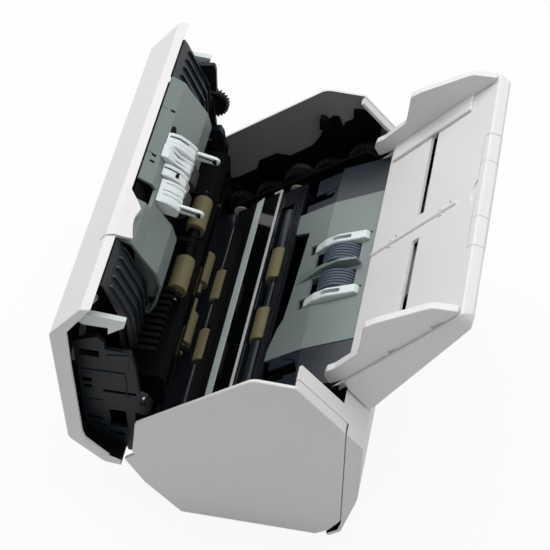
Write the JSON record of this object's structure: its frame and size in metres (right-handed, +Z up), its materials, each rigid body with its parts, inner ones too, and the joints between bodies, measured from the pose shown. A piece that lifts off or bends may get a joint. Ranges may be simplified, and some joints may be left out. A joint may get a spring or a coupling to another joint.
{
  "type": "sheet fed document scanner",
  "caption": "Desktop scanner with a swing open feeder cover, roller paper path and a sloping input chute with side guides.",
  "frame": {"origin": "middle of the overall footprint at rest, on the table under the feet", "axes": "+X across the machine towards its right side cover, -Y the front where the cover opens, +Y the rear with the input chute, +Z up"},
  "size_m": [0.286, 0.2694, 0.2208],
  "materials": {
    "case_plastic": "fine grained, warm light grey",
    "chute_plastic": "smooth, warm light grey",
    "black_plastic": "satin black",
    "deck_plastic": "glossy blue black",
    "guide_plastic": "satin grey green",
    "wing_plastic": "satin blue grey",
    "white_plastic": "smooth white",
    "tan_rubber": "matt tan",
    "grey_rubber": "matt blue grey",
    "dark_rubber": "matt dark",
    "shaft_steel": "ground",
    "sensor_glass": "clear over a dark trough",
    "gear_plastic": "moulded dark grey",
    "bush_plastic": "moulded cream",
    "board_green": "coated board",
    "motor_metal": "satin"
  },
  "bodies": {
    "base": {"base_pan": "case_plastic", "rubber_feet": "dark_rubber", "side_cover_right": "case_plastic", "side_cover_left": "case_plastic", "rear_cover": "case_plastic", "side_frame_right": "black_plastic", "side_frame_left": "black_plastic", "shaft_bushings": "bush_plastic", "base_brackets": "black_plastic", "exit_guide_plate": "deck_plastic", "lower_scan_housing": "black_plastic", "lower_scan_glass": "sensor_glass", "lower_white_strip": "white_plastic", "glass_rail": "shaft_steel", "feed_deck": "deck_plastic", "lower_paper_guide": "guide_plastic", "deck_wings": "wing_plastic", "drive_motor": "motor_metal", "drive_belt": "dark_rubber", "main_board": "board_green", "rear_sockets": "black_plastic"},
    "feed_roll": {"feed_shaft": "shaft_steel", "feed_rollers": "tan_rubber", "feed_gear": "gear_plastic", "feed_sleeves": "wing_plastic"},
    "exit_roll": {"exit_shaft": "shaft_steel", "exit_rollers": "tan_rubber", "exit_gear": "gear_plastic"},
    "pick_roll": {"pick_shaft": "shaft_steel", "pick_rollers": "grey_rubber", "pick_gear": "gear_plastic"},
    "front_idler": {"idler_gear_front": "gear_plastic"},
    "rear_idler": {"idler_gear_rear": "gear_plastic"},
    "motor_rotor": {"motor_shaft": "shaft_steel"},
    "right_flap": {"paper_flap_right": "white_plastic"},
    "left_flap": {"paper_flap_left": "white_plastic"},
    "adf_cover": {"cover_shell": "case_plastic", "cover_frame": "black_plastic", "cover_end_plates": "black_plastic", "retard_covers": "white_plastic", "upper_scan_housing": "black_plastic", "upper_scan_glass": "sensor_glass", "upper_paper_guides": "guide_plastic", "ribbed_guides": "black_plastic"},
    "pinch_roll": {"pinch_shaft": "shaft_steel", "pinch_rollers": "tan_rubber"},
    "exit_pinch_roll": {"exit_pinch_rollers": "tan_rubber"},
    "brake_roll": {"brake_rollers": "grey_rubber"},
    "cover_wheel": {"cover_gear": "gear_plastic"},
    "latch": {"latch_hooks": "white_plastic", "release_tab": "case_plastic"},
    "power_key": {"power_button": "case_plastic"},
    "start_key": {"start_button": "case_plastic"},
    "chute": {"input_chute": "chute_plastic", "chute_back": "chute_plastic"},
    "right_guide": {"side_guide_right": "chute_plastic"},
    "left_guide": {"side_guide_left": "chute_plastic"},
    "pinion": {"guide_pinion": "gear_plastic"},
    "extension": {"chute_extension": "chute_plastic"},
    "tip": {"extension_tip": "chute_plastic"}
  },
  "joints": [
    {"name": "cover_hinge", "type": "hinge", "parent": "base", "child": "adf_cover", "pos_m": [0, -0.07918, 0.0518], "axis": [1, 0, 0], "range_deg": [-53.4, 0]},
    {"name": "feed_turn", "type": "hinge", "parent": "base", "child": "feed_roll", "pos_m": [-0.005, -0.01566, 0.07548], "axis": [1, 0, 0], "continuous": true},
    {"name": "exit_turn", "type": "hinge", "parent": "base", "child": "exit_roll", "pos_m": [-0.005, -0.06038, 0.04257], "axis": [1, 0, 0], "continuous": true},
    {"name": "pick_turn", "type": "hinge", "parent": "base", "child": "pick_roll", "pos_m": [-0.005, 0.03766, 0.10712], "axis": [1, 0, 0], "continuous": true},
    {"name": "front_idler_turn", "type": "hinge", "parent": "base", "child": "front_idler", "pos_m": [-0.1285, -0.0348, 0.05368], "axis": [1, 0, 0], "continuous": true},
    {"name": "rear_idler_turn", "type": "hinge", "parent": "base", "child": "rear_idler", "pos_m": [-0.1285, 0.01042, 0.08774], "axis": [1, 0, 0], "continuous": true},
    {"name": "motor_turn", "type": "hinge", "parent": "base", "child": "motor_rotor", "pos_m": [-0.12, 0.01652, 0.038], "axis": [1, 0, 0], "continuous": true},
    {"name": "right_flap_turn", "type": "hinge", "parent": "base", "child": "right_flap", "pos_m": [0.0215, 0.04972, 0.1258], "axis": [1, 0, 0], "range_deg": [0, 8], "stiffness_Nm_per_rad": 0.05, "springref_deg": -5.73},
    {"name": "left_flap_turn", "type": "hinge", "parent": "base", "child": "left_flap", "pos_m": [-0.0315, 0.04972, 0.1258], "axis": [1, 0, 0], "range_deg": [0, 8], "stiffness_Nm_per_rad": 0.05, "springref_deg": -5.73},
    {"name": "pinch_turn", "type": "hinge", "parent": "adf_cover", "child": "pinch_roll", "pos_m": [-0.005, -0.07527, 0.11904], "axis": [1, 0, 0], "continuous": true},
    {"name": "exit_pinch_turn", "type": "hinge", "parent": "adf_cover", "child": "exit_pinch_roll", "pos_m": [-0.005, -0.07286, 0.06109], "axis": [1, 0, 0], "continuous": true},
    {"name": "brake_turn", "type": "hinge", "parent": "adf_cover", "child": "brake_roll", "pos_m": [-0.005, -0.0787, 0.17348], "axis": [1, 0, 0], "continuous": true},
    {"name": "cover_wheel_turn", "type": "hinge", "parent": "adf_cover", "child": "cover_wheel", "pos_m": [-0.1338, -0.08611, 0.14079], "axis": [1, 0, 0], "continuous": true},
    {"name": "latch_turn", "type": "hinge", "parent": "adf_cover", "child": "latch", "pos_m": [0, -0.1165, 0.18067], "axis": [1, 0, 0], "range_deg": [0, 4.5], "stiffness_Nm_per_rad": 0.6, "springref_deg": -6.88},
    {"name": "power_press", "type": "slide", "parent": "adf_cover", "child": "power_key", "axis": [0, 0.999, 0.0454], "range_m": [0, 0.001], "stiffness_N_per_m": 400, "springref_m": -0.0003},
    {"name": "start_press", "type": "slide", "parent": "adf_cover", "child": "start_key", "axis": [0, 0.999, 0.0454], "range_m": [0, 0.001], "stiffness_N_per_m": 400, "springref_m": -0.0003},
    {"name": "chute_lift", "type": "slide", "parent": "base", "child": "chute", "axis": [0, 0.6468, 0.7627], "range_m": [0, 0.028]},
    {"name": "right_guide_slide", "type": "slide", "parent": "chute", "child": "right_guide", "axis": [-1, 0, 0], "range_m": [0, 0.075]},
    {"name": "left_guide_slide", "type": "slide", "parent": "chute", "child": "left_guide", "axis": [1, 0, 0], "range_m": [0, 0.075]},
    {"name": "pinion_turn", "type": "hinge", "parent": "chute", "child": "pinion", "pos_m": [-0.005, 0.09001, 0.16942], "axis": [0, -0.7627, 0.6468], "range_deg": [0, 770]},
    {"name": "extension_pull", "type": "slide", "parent": "chute", "child": "extension", "axis": [0, 0.6468, 0.7627], "range_m": [0, 0.08]},
    {"name": "tip_pull", "type": "slide", "parent": "extension", "child": "tip", "axis": [0, 0.6468, 0.7627], "range_m": [0, 0.06]}
  ],
  "couplings": [
    {"joint": "exit_turn", "follows": "feed_turn", "ratio": 1.0909},
    {"joint": "pick_turn", "follows": "feed_turn", "ratio": 0.70588},
    {"joint": "front_idler_turn", "follows": "feed_turn", "ratio": -0.8},
    {"joint": "rear_idler_turn", "follows": "feed_turn", "ratio": -0.8},
    {"joint": "motor_turn", "follows": "feed_turn", "ratio": 1.5},
    {"joint": "left_guide_slide", "follows": "right_guide_slide", "ratio": 1},
    {"joint": "pinion_turn", "follows": "right_guide_slide", "rad_per_m": 178.57}
  ]
}
